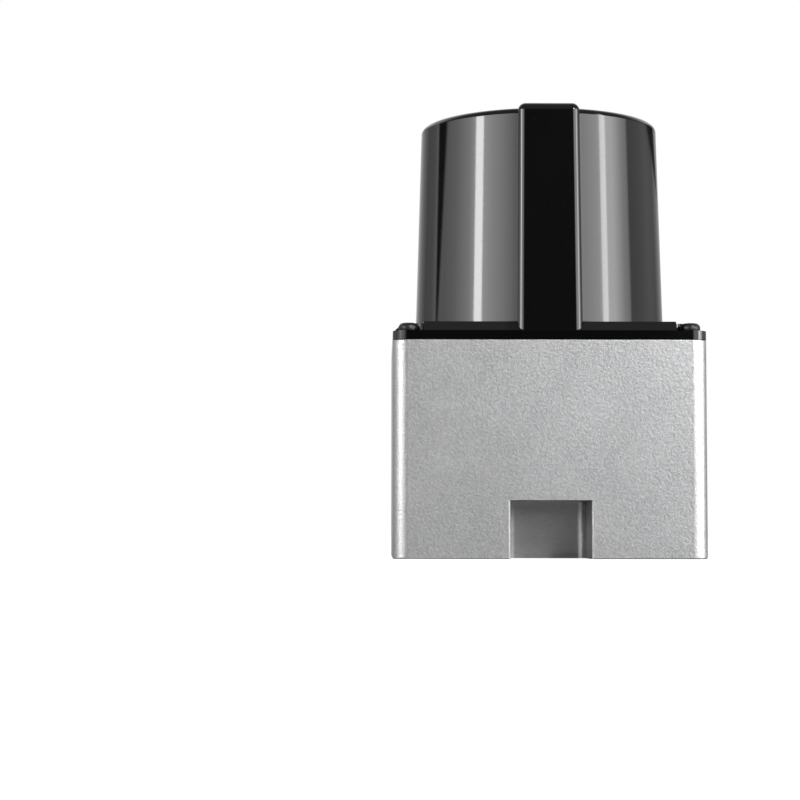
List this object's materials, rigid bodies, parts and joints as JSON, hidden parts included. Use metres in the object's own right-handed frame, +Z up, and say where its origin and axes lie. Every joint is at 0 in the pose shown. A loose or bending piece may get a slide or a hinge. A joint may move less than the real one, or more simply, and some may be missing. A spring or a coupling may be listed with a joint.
{
  "type": "scanning lidar sensor",
  "caption": "Compact scanning lidar: square bead-blasted aluminium housing with a rear cable recess and a glossy black hood with a conical window and rear fin over a spinning mirror.",
  "frame": {"origin": "centre of the base, on the face that the sensor stands on", "axes": "+Z up along the mirror's axis; -Y towards the rear, where the fin and the cable recess are; +Y towards the middle of the scanned sector"},
  "size_m": [0.06, 0.06, 0.0876],
  "materials": {
    "housing_aluminium": "bead-blasted, clear anodised",
    "hood_plastic": "polished black, infrared-pass",
    "seal_rubber": "moulded seal cord",
    "black_screw": "blackened steel",
    "socket_plastic": "moulded, matt",
    "cream_plastic": "moulded, matt",
    "gold_contact": "gold-plated",
    "board_laminate": "green solder mask",
    "capacitor_case": "moulded case",
    "chip_plastic": "moulded chip",
    "flex_film": "polyimide film",
    "deck_aluminium": "milled",
    "black_aluminium": "black anodised",
    "tube_brass": "turned",
    "bearing_steel": "ground steel",
    "core_steel": "laminated",
    "copper_wire": "enamelled copper wire",
    "bell_steel": "drawn steel",
    "magnet_black": "bonded magnet",
    "shaft_steel": "ground",
    "disc_steel": "etched sheet",
    "mirror_coating": "front-surface mirror",
    "optical_glass": "polished lens",
    "weight_brass": "sawn",
    "diode_can": "gold-plated can"
  },
  "bodies": {
    "base": {"housing": "housing_aluminium", "hood": "hood_plastic", "hood_gasket": "seal_rubber", "cover_screws": "black_screw", "connector_socket": "socket_plastic", "connector_pins": "gold_contact", "interface_board": "board_laminate", "power_capacitors": "capacitor_case", "board_standoffs": "tube_brass", "board_link": "socket_plastic", "main_board": "board_laminate", "processor_chip": "chip_plastic", "flex_connectors": "cream_plastic", "deck_plate": "deck_aluminium", "bearing_tube": "bearing_steel", "stator_core": "core_steel", "stator_coils": "copper_wire", "motor_flex": "flex_film", "encoder_sensor": "chip_plastic", "optics_bracket": "black_aluminium", "lens_barrel": "black_aluminium", "receiver_lens": "optical_glass", "emitter_tube": "black_aluminium", "emitter_lens": "optical_glass", "laser_diode": "diode_can", "emitter_board": "board_laminate", "emitter_pins": "gold_contact", "receiver_board": "board_laminate", "detector": "chip_plastic", "optics_flex": "flex_film"},
    "rotor": {"shaft": "shaft_steel", "bearing_inner_sleeve": "bearing_steel", "rotor_bell": "bell_steel", "magnet_ring": "magnet_black", "rotor_hub": "tube_brass", "encoder_disc": "disc_steel", "mirror_holder": "black_aluminium", "mirror": "mirror_coating", "balance_weight": "weight_brass"}
  },
  "joints": [
    {"name": "mirror_spin", "type": "hinge", "parent": "base", "child": "rotor", "pos_m": [0, 0, 0.06], "axis": [0, 0, 1], "continuous": true}
  ]
}
